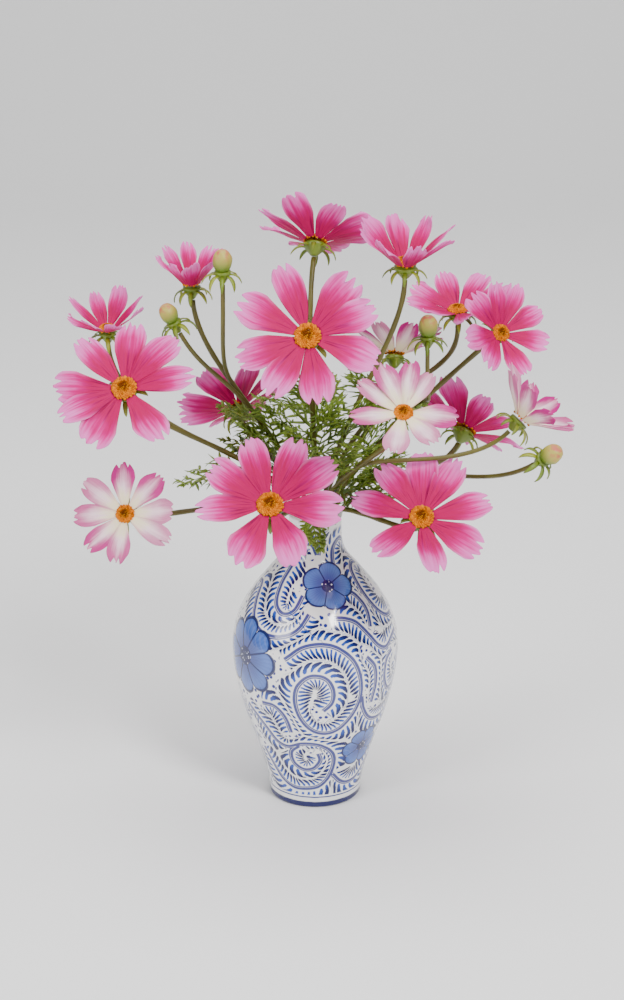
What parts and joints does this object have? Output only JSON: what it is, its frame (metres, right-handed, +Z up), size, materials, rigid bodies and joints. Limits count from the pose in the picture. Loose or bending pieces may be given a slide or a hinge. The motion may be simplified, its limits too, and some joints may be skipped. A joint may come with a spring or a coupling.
{
  "type": "cosmos bouquet in a vase",
  "caption": "Cosmos in pink and picotee white with buds and feathery leaves, standing in a slim-necked blue and white glazed porcelain vase.",
  "frame": {"origin": "centre of the vase's flat foot", "axes": "+Z up along the vase's axis, -Y towards the front of the arrangement, +X to its right"},
  "size_m": [0.2717, 0.182, 0.3354],
  "materials": {
    "glaze": "glossy white glaze with cobalt blue brush ornament",
    "petal_pink": "soft matte, deep rose at the base fading to pale pink at the tips, with darker veins",
    "petal_pale": "soft matte, white with magenta edges",
    "disc_florets": "matte golden orange, grainy",
    "stem": "satin olive green",
    "leaf": "satin leaf green",
    "bud": "matte cream flushed with pink"
  },
  "bodies": {
    "root": {"vase": "glaze", "petals_front_high": "petal_pink", "disc_front_high": "disc_florets", "petals_left": "petal_pink", "disc_left": "disc_florets", "petals_front_low": "petal_pink", "disc_front_low": "disc_florets", "petals_right_low": "petal_pink", "disc_right_low": "disc_florets", "petals_right_high": "petal_pink", "disc_right_high": "disc_florets", "petals_top": "petal_pink", "disc_top": "disc_florets", "petals_top_right": "petal_pink", "disc_top_right": "disc_florets", "petals_left_high": "petal_pink", "disc_left_high": "disc_florets", "petals_far_left": "petal_pink", "disc_far_left": "disc_florets", "petals_back_right": "petal_pink", "disc_back_right": "disc_florets", "petals_back_pale": "petal_pale", "disc_back_pale": "disc_florets", "petals_middle_pale": "petal_pale", "disc_middle_pale": "disc_florets", "petals_left_low_pale": "petal_pale", "disc_left_low_pale": "disc_florets", "petals_right_back": "petal_pink", "disc_right_back": "disc_florets", "petals_far_right_pale": "petal_pale", "disc_far_right_pale": "disc_florets", "petals_left_back": "petal_pink", "disc_left_back": "disc_florets", "bud_left_high": "bud", "bud_left": "bud", "bud_middle": "bud", "bud_right": "bud", "stem_front_high": "stem", "stem_left": "stem", "stem_front_low": "stem", "stem_right_low": "stem", "stem_right_high": "stem", "stem_top": "stem", "stem_top_right": "stem", "stem_left_high": "stem", "stem_back_right": "stem", "stem_back_pale": "stem", "stem_middle_pale": "stem", "stem_left_low_pale": "stem", "stem_right_back": "stem", "stem_left_back": "stem", "leaf_centre_left": "leaf", "leaf_far_left": "leaf", "leaf_left_back": "leaf", "leaf_centre_back": "leaf", "leaf_centre": "leaf", "leaf_right_inner": "leaf", "leaf_right": "leaf", "leaf_right_front": "leaf", "leaf_hanging": "leaf"}
  },
  "joints": []
}
